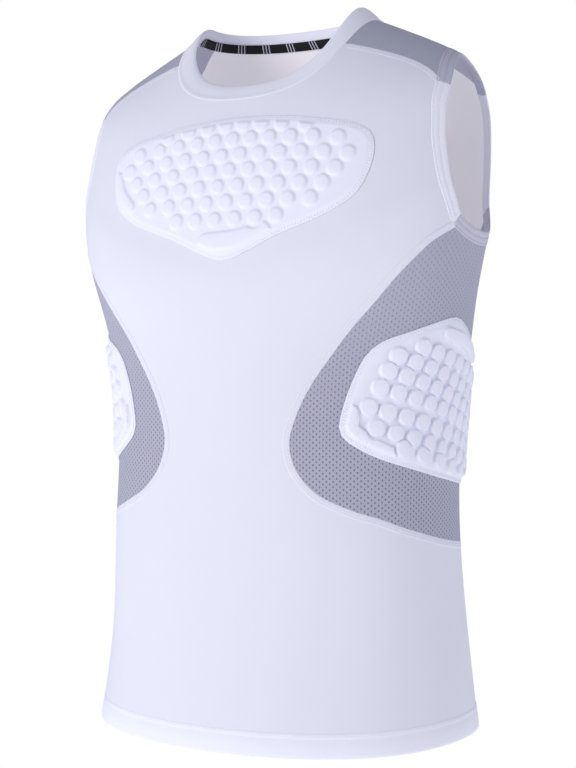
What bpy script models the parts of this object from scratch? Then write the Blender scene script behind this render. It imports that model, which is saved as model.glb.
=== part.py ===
"""A sleeveless padded compression shirt, filled out as if it were worn, hollow and open.

Metres, +Z up. The front faces -Y and the wearer's left is +X. The origin lies between the shoulders,
at the height of the neck seam on the shoulder line, where a wearer carries the garment.

Every panel is cut from one surface, a loft through rings that climb from the hem, over the shoulders,
to the neck seam. A place on it is an angle round the body (-90 is centre front, 0 the wearer's left
side, 90 centre back) and a level, which counts the rows of the ring table from the hem up.
"""

import math

import bmesh
import bpy
import numpy as np
from mathutils import Vector
from mathutils.geometry import delaunay_2d_cdt

MM = 0.001

# Cloth and seams
WALL = 1.6 * MM
SEAM_GAP = 0.3 * MM
HEM_DEPTH = 20 * MM
HEM_STEP = 2 * MM
HEM_EXTRA = 0.8 * MM
SEAM_SPACING = 12 * MM
FINE_SPACING = 1.5 * MM
PANEL_SPACING = 23 * MM
YOKE_SPACING = 15 * MM

# Points that fill a panel keep this share of their spacing clear of its edge, and of a pad or a row
EDGE_CLEAR = 0.55
UNDER_PAD_CLEAR = 0.50
PAD_CLEAR = 0.45

# Collar and tape. The section runs up the outside, over the fold and down the inside: share of the
# height, and share of the thickness.
COLLAR_WALL = 2.2 * MM
COLLAR_SEGMENTS = 60
COLLAR_DOUBLE = 0.35
COLLAR_SECTION = (
    (COLLAR_DOUBLE, 0.00),
    (0.70, 0.00),
    (0.94, 0.12),
    (1.00, 0.50),
    (0.94, 0.88),
    (0.70, 1.00),
    (COLLAR_DOUBLE, 1.00),
)
TAPE_WALL = 1.0 * MM
TAPE_FIRST_SEGMENT = -1
TAPE_LAST_SEGMENT = 31
TAPE_LOWER = 0.06
TAPE_UPPER = 0.52

# Pads
PAD_LIFT = 0.3 * MM
PAD_EDGE = 1.5 * MM
PAD_FLANGE = 5.5 * MM
PAD_SPACING = 9 * MM
DOME_RADIUS = 7.6 * MM
DOME_RISE = 4.4 * MM
DOME_SIDES = 8
DOME_SHOULDER = 0.62
DOME_SHOULDER_RISE = 0.90
LEAST_DOME = 0.50

# Rings of the body, millimetres: where each crosses the wearer's side, the centre front and the centre
# back. The squareness of each half fills its corners out, and fall makes the front drop sooner.
RING_COLUMNS = (
    "side_x", "side_y", "side_z", "front_y", "front_z", "back_y", "back_z",
    "front_square", "back_square", "fall",
)
BODY_RINGS = (
    ("hem",          184,  0, -652, -149, -655, 118, -650, 0.020,  0.030, 0.0),
    ("low hip",      173,  0, -562, -138, -566, 114, -562, 0.025,  0.030, 0.0),
    ("waist",        166,  0, -466, -130, -470, 109, -468, 0.040,  0.030, 0.0),
    ("ribs",         169,  0, -381, -126, -383, 109, -382, 0.025,  0.025, 0.0),
    ("low chest",    180, -3, -300, -126, -303, 112, -302, 0.020,  0.010, 0.0),
    ("armpit",       192, -6, -236, -127, -245, 116, -242, 0.045, -0.010, 0.0),
    ("upper chest",  205, -6, -168, -122, -206, 117, -190, 0.050,  0.000, 0.0),
    ("upper arm",    206,  0, -105, -116, -169, 112, -132, 0.035,  0.015, 0.0),
    ("shoulder",     192,  4,  -54, -109, -134, 103,  -84, 0.030,  0.020, 0.0),
    ("mid shoulder", 145,  4,  -22, -101, -104,  84,  -40, 0.045,  0.020, 0.3),
    ("neck seam",     97,  0,    0,  -93,  -80,  60,   -1, 0.060,  0.010, 0.6),
)
COLLAR_RINGS = (
    ("neck seam",     97,  0,    0,  -93,  -80,  60,   -1, 0.060,  0.010, 0.6),
    ("collar top",    83, -4,   14,  -80,  -64,  52,   16, 0.050,  0.010, 0.6),
)
NECK_LEVEL = len(BODY_RINGS) - 1

# Seam lines, from one end to the other: angle in degrees, level in rows
SIDE_FRONT_SEAM = (
    (-18, 5.68), (-28, 5.54), (-35, 5.38), (-43, 5.00), (-49, 4.58), (-55, 4.20), (-60, 3.88),
    (-65, 3.58), (-69, 3.28), (-71.5, 2.95), (-69.5, 2.64), (-63, 2.38), (-52, 2.21), (-40, 2.10),
    (-27, 1.98), (-8, 1.85), (12, 1.78), (38, 1.74),
)
SIDE_BACK_SEAM = ((38, 1.74), (45, 2.40), (48, 3.10), (46, 4.00), (38, 5.00), (25, 5.98))
SIDE_SEAM_TOP = (38, 1.74)
SIDE_SEAM_HEM_ANGLE = 36
YOKE_FRONT_SEAM = ((-27, 7.60), (-28, 8.50), (-29.5, 9.20), (-32, 10))
YOKE_BACK_SEAM = ((25, 7.80), (27.5, 8.40), (25, 9.20), (15, 10))

# The armhole, round from the front yoke seam, down the front, under the arm and up the back: angle,
# level, and the panel whose edge starts there
ARMHOLE = (
    (-27.0, 7.60, "front"), (-29.0, 7.25, ""), (-29.5, 6.85, ""), (-27.5, 6.30, ""), (-22.5, 5.90, ""),
    (-18.0, 5.68, "side"), (-8.0, 5.54, ""), (4.0, 5.52, ""), (15.0, 5.64, ""),
    (25.0, 5.98, "back"), (28.0, 6.35, ""), (28.5, 6.85, ""), (27.5, 7.35, ""),
    (25.0, 7.80, "yoke"), (16.0, 8.22, ""), (4.0, 8.40, ""), (-8.0, 8.32, ""), (-19.0, 8.04, ""),
)

# Pad outlines. The chest pad's is half of it, from the point at the bottom up to the top centre.
CHEST_PAD_HALF = (
    (-90, 5.40), (-84, 5.60), (-77, 5.93), (-66, 6.22), (-59, 6.46), (-55, 6.82), (-53, 7.20),
    (-53.5, 7.60), (-58, 8.02), (-64, 8.42), (-71, 8.85), (-80, 9.15), (-90, 9.27),
)
SIDE_PAD = (
    (-54.5, 3.10), (-53, 2.98), (-48, 2.87), (-39, 2.75), (-23, 2.62), (-8, 2.52), (12, 2.44),
    (26, 2.45), (35, 2.60), (38, 2.90), (37, 3.25), (30, 3.60), (18, 3.88), (4, 4.14), (-4, 4.27),
    (-10, 4.33), (-18, 4.28), (-32, 4.13), (-42, 4.01), (-47, 3.86), (-50, 3.65), (-53, 3.35),
)

# Rows of domes on each pad, from the top down: the angles of the first and the last dome, the levels
# at the row's start, middle and end, and the number of domes
CHEST_DOMES = (
    (-111.2, -68.8, 8.41, 8.93, 8.41, 8),
    (-118.0, -62.0, 7.75, 8.46, 7.75, 11),
    (-120.0, -60.0, 7.32, 8.00, 7.32, 12),
    (-116.5, -63.5, 7.10, 7.60, 7.10, 11),
    (-113.2, -66.8, 6.87, 7.19, 6.87, 10),
    (-110.0, -70.0, 6.59, 6.80, 6.59, 9),
    (-102.0, -78.0, 6.35, 6.38, 6.35, 6),
)
SIDE_DOMES = (
    (-26.5, 21.8, 3.94, 3.74, 3.55, 8),
    (-36.0, 26.1, 3.84, 3.55, 3.27, 10),
    (-39.0, 30.0, 3.68, 3.37, 3.07, 11),
    (-41.5, 28.5, 3.50, 3.22, 2.95, 11),
    (-45.0, 28.0, 3.30, 3.03, 2.77, 11),
    (-42.0, 19.0, 3.08, 2.86, 2.64, 9),
    (-31.0, 5.5, 2.86, 2.73, 2.60, 5),
)

# Finishes: colour as linear red, green and blue, then roughness
FINISHES = {
    "white_jersey": ((0.84, 0.85, 0.93), 0.62),
    "grey_mesh": ((0.37, 0.35, 0.45), 0.75),
    "white_pad": ((0.80, 0.82, 0.93), 0.55),
    "black_tape": ((0.010, 0.010, 0.013), 0.60),
}


def spline_slopes(rows):
    """Second derivatives of the natural cubic spline through rows that are one level apart."""
    count = len(rows)
    matrix = np.eye(count)
    right = np.zeros_like(rows)
    for i in range(1, count - 1):
        matrix[i, i - 1 : i + 2] = (1, 4, 1)
        right[i] = 6 * (rows[i - 1] - 2 * rows[i] + rows[i + 1])
    return np.linalg.solve(matrix, right)


def ring_table(rings):
    rows = np.array([ring[1:] for ring in rings], float)
    lengths = [RING_COLUMNS.index(name) for name in RING_COLUMNS[:7]]
    rows[:, lengths] *= MM
    return rows, spline_slopes(rows)


BODY = ring_table(BODY_RINGS)
COLLAR = ring_table(COLLAR_RINGS)


def loft_point(table, angle, level):
    """Points of a lofted surface at angles in degrees and at levels; the two broadcast."""
    angle, level = np.broadcast_arrays(np.asarray(angle, float), np.asarray(level, float))
    rows, slopes = table
    low = np.clip(np.floor(level).astype(int), 0, len(rows) - 2)
    part = (level - low)[..., None]
    rest = 1 - part
    ring = rest * rows[low] + part * rows[low + 1]
    ring = ring + ((rest**3 - rest) * slopes[low] + (part**3 - part) * slopes[low + 1]) / 6
    column = {name: ring[..., i] for i, name in enumerate(RING_COLUMNS)}
    turn = np.radians(angle)
    is_front = np.sin(turn) < 0
    square = np.where(is_front, column["front_square"], column["back_square"])
    across = (np.cos(turn) - square * np.cos(3 * turn)) / (1 - square)
    along = np.abs(np.sin(turn) + square * np.sin(3 * turn)) / (1 - square)
    end_y = np.where(is_front, column["front_y"], column["back_y"])
    end_z = np.where(is_front, column["front_z"], column["back_z"])
    fall = np.where(is_front, column["fall"], 0)
    drop = np.sin(turn) ** 2
    drop = drop * (1 + fall * (1 - drop))
    x = column["side_x"] * across
    y = column["side_y"] + (end_y - column["side_y"]) * along
    z = column["side_z"] + (end_z - column["side_z"]) * drop
    return np.stack([x, y, z], axis=-1)


def loft_normal(table, angle, level):
    """Outward unit normals of a lofted surface."""
    turn_step, level_step = 0.5, 0.02
    angle, level = np.broadcast_arrays(np.asarray(angle, float), np.asarray(level, float))
    around = loft_point(table, angle + turn_step, level) - loft_point(table, angle - turn_step, level)
    upward = loft_point(table, angle, level + level_step) - loft_point(table, angle, level - level_step)
    normal = np.cross(around, upward)
    return normal / np.linalg.norm(normal, axis=-1, keepdims=True)


def seam_normal(angle):
    """The direction through the cloth at the neck seam, shared by the panels and the collar."""
    normal = loft_normal(BODY, angle, float(NECK_LEVEL)) + loft_normal(COLLAR, angle, 0.0)
    return normal / np.linalg.norm(normal, axis=-1, keepdims=True)


def body_normal(angle, level):
    """Outward normals of the body, easing to the neck seam's own direction in the last stretch."""
    near_neck = 0.15
    share = np.clip((level - (NECK_LEVEL - near_neck)) / near_neck, 0, 1)[..., None]
    normal = (1 - share) * loft_normal(BODY, angle, level) + share * seam_normal(angle)
    return normal / np.linalg.norm(normal, axis=-1, keepdims=True)


# The plan: a flat chart of the body, metres across (round the armpit ring) and metres up. A triangle
# with less than the sliver's area on it is left out.
ARMPIT_LEVEL = 5.0
SLIVER = 1e-9
PLAN_ANGLES = np.arange(-275.0, 275.1, 2.5)
PLAN_LEVELS = np.linspace(0, NECK_LEVEL, 201)
FRONT_QUARTER = -60.0


def running_length(points):
    steps = np.linalg.norm(np.diff(points, axis=0), axis=1)
    return np.concatenate([[0.0], np.cumsum(steps)])


PLAN_ACROSS = running_length(loft_point(BODY, PLAN_ANGLES, ARMPIT_LEVEL))
PLAN_UP = running_length(loft_point(BODY, FRONT_QUARTER, PLAN_LEVELS))


def to_plan(table):
    rows = np.array([row[:2] for row in table], float)
    across = np.interp(rows[:, 0], PLAN_ANGLES, PLAN_ACROSS)
    up = np.interp(rows[:, 1], PLAN_LEVELS, PLAN_UP)
    return np.stack([across, up], axis=1)


def from_plan(points):
    """Angles and levels of points on the plan."""
    points = np.asarray(points, float)
    angle = np.interp(points[..., 0], PLAN_ACROSS, PLAN_ANGLES)
    level = np.interp(points[..., 1], PLAN_UP, PLAN_LEVELS)
    return angle, level


def mirror_plan(points, centre_angle):
    """The same line on the other side of the centre front or the centre back."""
    angle, level = from_plan(points)
    return to_plan(np.stack([2 * centre_angle - angle, level], axis=1))


def smooth_line(points, spacing, closed=False):
    """Even points along a smooth curve through the given points of the plan, both ends kept."""
    steps = 12
    if closed:
        padded = np.concatenate([points[-1:], points, points[:2]])
    else:
        padded = np.concatenate([2 * points[:1] - points[1:2], points, 2 * points[-1:] - points[-2:-1]])
    curve = []
    for a, b, c, d in zip(padded, padded[1:], padded[2:], padded[3:]):
        for t in np.arange(steps) / steps:
            bend = (2 * a - 5 * b + 4 * c - d) * t**2 + (3 * b - a - 3 * c + d) * t**3
            curve.append(b + 0.5 * ((c - a) * t + bend))
    curve = np.array(curve + [padded[-2]])
    length = running_length(curve)
    count = max(2, round(length[-1] / spacing))
    at = np.linspace(0, length[-1], count + 1)
    even = np.stack([np.interp(at, length, curve[:, i]) for i in (0, 1)], axis=1)
    return even[:-1] if closed else even


def join(*lines):
    """One line from several that meet end to start."""
    return np.concatenate([lines[0]] + [line[1:] for line in lines[1:]])


def is_inside(points, outline):
    """Which points lie within a closed outline."""
    x, y = points[:, 0][:, None], points[:, 1][:, None]
    x1, y1 = outline[:, 0], outline[:, 1]
    x2, y2 = np.roll(x1, -1), np.roll(y1, -1)
    crosses = (y1 > y) != (y2 > y)
    rise = np.where(y2 == y1, 1e-12, y2 - y1)
    return (crosses & (x < x1 + (y - y1) * (x2 - x1) / rise)).sum(axis=1) % 2 == 1


def distance_to(points, outline):
    """Distance on the plan from each point to a closed outline."""
    start, edge = outline, np.roll(outline, -1, axis=0) - outline
    away = points[:, None] - start[None]
    share = np.clip((away * edge).sum(-1) / np.maximum((edge**2).sum(-1), 1e-18), 0, 1)
    return np.linalg.norm(away - share[..., None] * edge, axis=-1).min(axis=1)


def fill_points(outline, spacing, clear):
    """A triangular grid of points within an outline, clear of its edge."""
    low, high = outline.min(axis=0), outline.max(axis=0)
    row_step = spacing * math.sqrt(3) / 2
    points = []
    for row in range(int((high[1] - low[1]) / row_step) + 1):
        shift = spacing / 2 if row % 2 else 0.0
        for column in range(int((high[0] - low[0]) / spacing) + 1):
            points.append((low[0] + shift + column * spacing, low[1] + (row + 0.5) * row_step))
    points = np.array(points)
    points = points[is_inside(points, outline)]
    return points[distance_to(points, outline) > clear]


def triangulate(outline, loops=(), loose=()):
    """Triangles within an outline. Returns the points, the outline's first, and the triangles."""
    points = [np.asarray(outline)] + [np.asarray(loop) for loop in loops]
    edges = []
    start = 0
    for loop in points:
        edges += [(start + i, start + (i + 1) % len(loop)) for i in range(len(loop))]
        start += len(loop)
    points = np.concatenate(points + [np.asarray(p) for p in loose if len(p)])
    result = delaunay_2d_cdt([Vector(p) for p in points], edges, [], 0, 1e-7)
    source = [min(ids) for ids in result[3]]
    triangles = np.array([[source[v] for v in face] for face in result[2]])
    a, b, c = (points[triangles[:, i]] for i in range(3))
    doubled_area = (b - a)[:, 0] * (c - a)[:, 1] - (b - a)[:, 1] * (c - a)[:, 0]
    kept = is_inside((a + b + c) / 3, outline) & (doubled_area > SLIVER)
    return points, triangles[kept]


def anticlockwise(outline):
    x, y = outline[:, 0], outline[:, 1]
    area = (x * np.roll(y, -1) - y * np.roll(x, -1)).sum()
    return outline if area > 0 else outline[::-1]


def hem_raise(level):
    """How far the turned hem stands out: a band along the bottom, two layers thicker."""
    up = np.interp(level, PLAN_LEVELS, PLAN_UP)
    return HEM_EXTRA * np.clip((HEM_DEPTH + HEM_STEP - up) / HEM_STEP, 0, 1)


def edge_shift(points3, normals, count):
    """Moves the first count points, a closed edge, half a seam gap in along the surface."""
    edge = points3[:count]
    along = np.roll(edge, -1, axis=0) - np.roll(edge, 1, axis=0)
    inward = np.cross(normals[:count], along)
    inward /= np.linalg.norm(inward, axis=1, keepdims=True)
    shift = np.zeros_like(points3)
    shift[:count] = inward * SEAM_GAP / 2
    return shift


def material(name):
    found = bpy.data.materials.get(name)
    if found:
        return found
    made = bpy.data.materials.new(name)
    made.use_nodes = True
    colour, roughness = FINISHES[name]
    shader = made.node_tree.nodes["Principled BSDF"]
    shader.inputs["Base Color"].default_value = (*colour, 1)
    shader.inputs["Roughness"].default_value = roughness
    made.diffuse_color = (*colour, 1)
    return made


def make_object(name, vertices, faces, finish, mirrored=False):
    """One closed body. A mirrored one is the same piece for the wearer's right side."""
    vertices = np.array(vertices, float)
    if mirrored:
        vertices[:, 0] *= -1
        faces = [face[::-1] for face in faces]
    mesh = bpy.data.meshes.new(name)
    shape = bmesh.new()
    made = [shape.verts.new(v) for v in vertices]
    for face in faces:
        shape.faces.new([made[int(i)] for i in face])
    shape.to_mesh(mesh)
    shape.free()
    mesh.shade_smooth()
    mesh.set_sharp_from_angle(angle=math.radians(40))
    mesh.materials.append(material(finish))
    thing = bpy.data.objects.new(name, mesh)
    collection.objects.link(thing)
    return thing


def wall_faces(outer, inner, outer_start, inner_start, edge_count):
    """Faces of a wall: its outer skin, its inner skin turned over, and the rim that joins them."""
    faces = [tuple(outer_start(i) for i in triangle) for triangle in outer]
    faces += [tuple(inner_start(i) for i in reversed(triangle)) for triangle in inner]
    for i in range(edge_count):
        j = (i + 1) % edge_count
        faces.append((outer_start(i), inner_start(i), inner_start(j), outer_start(j)))
    return faces


def panel(outline, spacing, pads=(), rows=()):
    """Vertices and faces of a flat-cut panel, with each pad's own points under the pad."""
    outline = anticlockwise(outline)
    fill = fill_points(outline, spacing, EDGE_CLEAR * spacing)
    for edge, under in pads:
        clear = ~is_inside(fill, edge) & (distance_to(fill, edge) > PAD_CLEAR * spacing)
        fill = fill[clear]
    for row in rows:
        away = np.linalg.norm(fill[:, None] - row[None], axis=-1).min(axis=1)
        fill = fill[away > PAD_CLEAR * spacing]
    loose = [fill] + [under for edge, under in pads] + list(rows)
    points, triangles = triangulate(outline, [edge for edge, under in pads], loose)
    angle, level = from_plan(points)
    surface = loft_point(BODY, angle, level)
    normal = body_normal(angle, level)
    surface = surface + edge_shift(surface, normal, len(outline))
    outer = surface + normal * hem_raise(level)[:, None]
    inner = surface - normal * WALL
    count = len(points)
    faces = wall_faces(triangles, triangles, lambda i: i, lambda i: i + count, len(outline))
    return np.concatenate([outer, inner]), faces


def metric_root(point):
    """Turns a step in metres on the cloth at a place of the plan into a step on the plan."""
    step = 1 * MM
    columns = []
    for direction in np.eye(2) * step:
        ahead = loft_point(BODY, *from_plan(point + direction))
        behind = loft_point(BODY, *from_plan(point - direction))
        columns.append((ahead - behind) / (2 * step))
    stretch = np.array(columns)
    values, vectors = np.linalg.eigh(stretch @ stretch.T)
    return vectors @ np.diag(values**-0.5) @ vectors.T


def dome_centres(rows):
    """Places of the domes on the plan, evenly along each row."""
    found = []
    for first, last, first_level, middle_level, last_level, domes in rows:
        across = np.interp((first, last), PLAN_ANGLES, PLAN_ACROSS)
        along = np.linspace(-1, 1, domes)
        bow = (first_level + last_level) / 2 - middle_level
        level = middle_level + along * (last_level - first_level) / 2 + bow * along**2
        up = np.interp(level, PLAN_LEVELS, PLAN_UP)
        found.append(np.stack([across.mean() + along * (across[1] - across[0]) / 2, up], axis=1))
    return np.concatenate(found)


def dome_points(outline, rows):
    """The plan points of every dome, and how high each stands above the pad's flange."""
    points, heights = [], []
    for centre in dome_centres(rows):
        root = metric_root(centre)
        room = distance_to(centre[None], outline)[0] / np.linalg.norm(root, 2) - PAD_FLANGE
        radius = min(DOME_RADIUS, room)
        if radius < LEAST_DOME * DOME_RADIUS:
            continue
        rise = DOME_RISE * (radius / DOME_RADIUS)
        points.append(centre)
        heights.append(rise)
        for ring, (share, height) in enumerate(((DOME_SHOULDER, DOME_SHOULDER_RISE), (1.0, 0.0))):
            for i in range(DOME_SIDES):
                turn = 2 * math.pi * (i + ring / 2) / DOME_SIDES
                offset = radius * share * np.array([math.cos(turn), math.sin(turn)])
                points.append(centre + root @ offset)
                heights.append(rise * height)
    return np.array(points), np.array(heights)


def pad(outline, under, rows):
    """Vertices and faces of a pad: a plain inside over the panel's points, domes in its outside."""
    count = len(outline)
    base_points, base = triangulate(outline, (), [under])
    domes, heights = dome_points(outline, rows)
    top_points, top = triangulate(outline, (), [domes])
    skins = []
    for points, lift in ((top_points, PAD_LIFT + PAD_EDGE), (base_points, PAD_LIFT)):
        angle, level = from_plan(points)
        surface = loft_point(BODY, angle, level)
        normal = body_normal(angle, level)
        skins.append((surface + normal * lift, normal))
    upper = skins[0][0]
    upper[count:] += skins[0][1][count:] * heights[:, None]
    start = len(upper)
    faces = wall_faces(top, base, lambda i: i, lambda i: i + start, count)
    return np.concatenate([upper, skins[1][0]]), faces


def ring_band(sections, angles, closed):
    """Vertices and faces of a band whose section, a closed loop of skins, is swept round the neck."""
    count, around = len(sections), len(angles)
    vertices = np.concatenate(sections)
    faces = []
    for i in range(around if closed else around - 1):
        j = (i + 1) % around
        for s in range(count):
            t = (s + 1) % count
            faces.append((s * around + i, s * around + j, t * around + j, t * around + i))
    if not closed:
        faces.append(tuple(s * around for s in range(count)))
        faces.append(tuple(s * around + around - 1 for s in reversed(range(count))))
    return vertices, faces


def collar_depth(share):
    """Thickness of the collar at a share of its height: one wall at the seam, two layers above."""
    return float(np.interp(share, (0, COLLAR_DOUBLE), (WALL, COLLAR_WALL)))


def collar_skin(angles, share, depth):
    """The collar's points at a share of its height, a depth inside its outer face."""
    normal = loft_normal(COLLAR, angles, share)
    to_seam = max(0.0, 1 - share / COLLAR_DOUBLE)
    normal = (1 - to_seam) * normal + to_seam * seam_normal(angles)
    normal /= np.linalg.norm(normal, axis=-1, keepdims=True)
    return loft_point(COLLAR, angles, share) - normal * depth


def collar():
    """The neckband: a folded strip that stands on the neck seam, with a soft fold at its top."""
    angles = -180 + 360 * np.arange(COLLAR_SEGMENTS) / COLLAR_SEGMENTS
    height = np.linalg.norm(loft_point(COLLAR, -90, 1.0) - loft_point(COLLAR, -90, 0.0))
    foot = SEAM_GAP / 2 / height
    section = ((foot, 0.0), *COLLAR_SECTION, (foot, 1.0))
    skins = [collar_skin(angles, share, depth * collar_depth(share)) for share, depth in section]
    return ring_band(skins, angles, closed=True)


def neck_tape():
    """The tape: a flat strip inside the back half of the collar, over its seam."""
    segments = range(TAPE_FIRST_SEGMENT, TAPE_LAST_SEGMENT + 1)
    angles = np.array([360 * i / COLLAR_SEGMENTS for i in segments])
    shares = (TAPE_LOWER, COLLAR_DOUBLE, TAPE_UPPER)
    near = [collar_skin(angles, s, collar_depth(s) + SEAM_GAP) for s in shares]
    far = [collar_skin(angles, s, collar_depth(s) + SEAM_GAP + TAPE_WALL) for s in reversed(shares)]
    return ring_band(near + far, angles, closed=False)


def armhole_part(piece):
    """The stretch of the armhole that is one panel's edge."""
    start = [row[2] for row in ARMHOLE].index(piece)
    turned = ARMHOLE[start:] + ARMHOLE[:start]
    stop = next(i for i, row in enumerate(turned[1:], 1) if row[2])
    loop = to_plan(ARMHOLE)
    order = [(start + i) % len(ARMHOLE) for i in range(-1, stop + 2)]
    whole = smooth_line(loop[order], FINE_SPACING)
    first = np.linalg.norm(whole - loop[order[1]], axis=1).argmin()
    last = np.linalg.norm(whole - loop[order[-2]], axis=1).argmin()
    stretch = whole[first : last + 1].copy()
    stretch[0], stretch[-1] = loop[order[1]], loop[order[-2]]
    length = running_length(stretch)
    at = np.linspace(0, length[-1], max(3, round(length[-1] / SEAM_SPACING)) + 1)
    return np.stack([np.interp(at, length, stretch[:, i]) for i in (0, 1)], axis=1)


def level_line(start_angle, end_angle, level, spacing=SEAM_SPACING):
    """An even line along one level."""
    ends = to_plan(((start_angle, level), (end_angle, level)))
    count = max(2, round(abs(ends[1, 0] - ends[0, 0]) / spacing))
    share = np.linspace(0, 1, count + 1)[:, None]
    return ends[0] + (ends[1] - ends[0]) * share


def side_seam():
    """The seam from the hem up to the side panel, with points where the hem's band steps."""
    hem_top = np.interp((HEM_DEPTH, HEM_DEPTH + HEM_STEP), PLAN_UP, PLAN_LEVELS)
    seam_top = np.interp(SIDE_SEAM_TOP[1], PLAN_LEVELS, PLAN_UP)
    ups = np.interp((0, *hem_top), PLAN_LEVELS, PLAN_UP)
    above = np.linspace(ups[-1], seam_top, round((seam_top - ups[-1]) / SEAM_SPACING) + 1)[1:]
    ups = np.concatenate([ups, above])
    low, high = to_plan(((SIDE_SEAM_HEM_ANGLE, 0), SIDE_SEAM_TOP))
    return np.stack([low[0] + (high[0] - low[0]) * ups / seam_top, ups], axis=1)


def hem_rows(centre_angle, half_width_angle):
    """Rows of points at the step of the hem's band, clear of the side seams."""
    inset = 3
    rows = []
    for up in (HEM_DEPTH, HEM_DEPTH + HEM_STEP):
        level = float(np.interp(up, PLAN_UP, PLAN_LEVELS))
        reach = half_width_angle - inset
        rows.append(level_line(centre_angle - reach, centre_angle + reach, level))
    return rows


for old in list(bpy.context.scene.objects):
    bpy.data.objects.remove(old, do_unlink=True)
collection = bpy.data.collections.new("padded_compression_shirt")
bpy.context.scene.collection.children.link(collection)

# Seam lines on the plan
side_front_line = smooth_line(to_plan(SIDE_FRONT_SEAM), SEAM_SPACING)
side_back_line = smooth_line(to_plan(SIDE_BACK_SEAM), SEAM_SPACING)
yoke_front_line = smooth_line(to_plan(YOKE_FRONT_SEAM), SEAM_SPACING)
yoke_back_line = smooth_line(to_plan(YOKE_BACK_SEAM), SEAM_SPACING)
side_line = side_seam()
armhole = {piece: armhole_part(piece) for piece in ("front", "side", "back", "yoke")}
yoke_front_angle, yoke_back_angle = YOKE_FRONT_SEAM[-1][0], YOKE_BACK_SEAM[-1][0]

# Pads, and their points under the cloth
chest_half = to_plan(CHEST_PAD_HALF)
chest_other = mirror_plan(chest_half[::-1], -90)
chest_whole = np.concatenate([chest_half, chest_other[1:-1]])
chest_edge = anticlockwise(smooth_line(chest_whole, PAD_SPACING, closed=True))
side_edge = anticlockwise(smooth_line(to_plan(SIDE_PAD), PAD_SPACING, closed=True))
chest_under = fill_points(chest_edge, PANEL_SPACING, UNDER_PAD_CLEAR * PANEL_SPACING)
side_under = fill_points(side_edge, PANEL_SPACING, UNDER_PAD_CLEAR * PANEL_SPACING)

# Front panel: half of its outline, from centre front round the hem and up to the neck, and its mirror
front_half = join(
    level_line(-90, SIDE_SEAM_HEM_ANGLE, 0),
    side_line,
    side_front_line[::-1],
    armhole["front"][::-1],
    yoke_front_line,
    level_line(yoke_front_angle, -90, NECK_LEVEL),
)
front_outline = np.concatenate([front_half, mirror_plan(front_half[::-1], -90)[1:-1]])
vertices, faces = panel(
    front_outline, PANEL_SPACING, [(chest_edge, chest_under)], hem_rows(-90, 90 + SIDE_SEAM_HEM_ANGLE)
)
make_object("front", vertices, faces, "white_jersey")

# Back panel, about the centre back
back_half = join(
    level_line(90, SIDE_SEAM_HEM_ANGLE, 0),
    side_line,
    side_back_line,
    armhole["back"],
    yoke_back_line,
    level_line(yoke_back_angle, 90, NECK_LEVEL),
)
back_outline = np.concatenate([back_half, mirror_plan(back_half[::-1], 90)[1:-1]])
vertices, faces = panel(back_outline, PANEL_SPACING, (), hem_rows(90, 90 - SIDE_SEAM_HEM_ANGLE))
make_object("back", vertices, faces, "white_jersey")

# Side panels and their pads
side_outline = join(side_front_line, side_back_line, armhole["side"][::-1])[:-1]
side_piece = panel(side_outline, PANEL_SPACING, [(side_edge, side_under)])
side_pad_piece = pad(side_edge, side_under, SIDE_DOMES)

# Yokes
yoke_outline = join(
    yoke_front_line[::-1],
    armhole["yoke"][::-1],
    yoke_back_line,
    level_line(yoke_back_angle, yoke_front_angle, NECK_LEVEL),
)[:-1]
yoke_piece = panel(yoke_outline, YOKE_SPACING)

for side, mirrored in (("left", False), ("right", True)):
    make_object(f"side_panel_{side}", *side_piece, "grey_mesh", mirrored)
    make_object(f"side_pad_{side}", *side_pad_piece, "white_pad", mirrored)
    make_object(f"yoke_{side}", *yoke_piece, "grey_mesh", mirrored)

make_object("chest_pad", *pad(chest_edge, chest_under, CHEST_DOMES), "white_pad")
make_object("collar", *collar(), "white_jersey")
make_object("neck_tape", *neck_tape(), "black_tape")
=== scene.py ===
# %% [markdown]
# A sleeveless padded compression shirt
#
# The real shirt is cut flat from two knits, a smooth white jersey and a grey mesh, and the pieces are
# joined edge to edge with flat seams. Foam pads with round cells are sewn on the chest and over the ribs.
# Nobody wears it here, but it is filled out as if somebody did: hollow, open at neck, arms and hem.
#
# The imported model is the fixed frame. Each of its plain walls is replaced by a finer piece that is made
# the maker's way: a flat pattern piece is cut, given its thickness, and wrapped onto the form.

import math

import bpy
import numpy as np
from mathutils import Matrix, Vector
from mathutils.geometry import delaunay_2d_cdt


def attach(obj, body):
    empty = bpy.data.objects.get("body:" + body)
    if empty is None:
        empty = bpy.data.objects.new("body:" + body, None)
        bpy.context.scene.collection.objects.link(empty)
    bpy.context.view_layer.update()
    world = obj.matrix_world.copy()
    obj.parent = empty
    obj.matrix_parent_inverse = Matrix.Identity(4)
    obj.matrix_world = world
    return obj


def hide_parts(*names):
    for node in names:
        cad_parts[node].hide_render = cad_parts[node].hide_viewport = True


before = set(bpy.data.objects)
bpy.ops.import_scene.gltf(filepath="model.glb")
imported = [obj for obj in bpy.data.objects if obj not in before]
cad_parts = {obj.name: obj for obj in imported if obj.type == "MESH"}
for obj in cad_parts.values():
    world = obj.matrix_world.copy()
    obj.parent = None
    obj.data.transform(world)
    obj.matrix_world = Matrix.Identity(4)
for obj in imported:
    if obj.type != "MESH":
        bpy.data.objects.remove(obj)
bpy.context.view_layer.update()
print("nodes:", ", ".join(sorted(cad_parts)))

# %% [markdown]
# The form
#
# A close-fitting shirt takes the form of the body in it, so one smooth surface carries every piece. It is
# a loft through eleven rings, from the hem up over the shoulders to the neck seam. Each ring is a rounded
# loop given by where it crosses the wearer's side, the centre front and the centre back. A sculpted torso
# would give the same shape, but then no seam could be placed by a number.
#
# A place on the form is an angle (-90 is centre front, 0 the wearer's left side, 90 centre back) and a
# level, which counts the rings from the hem up.

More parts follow.
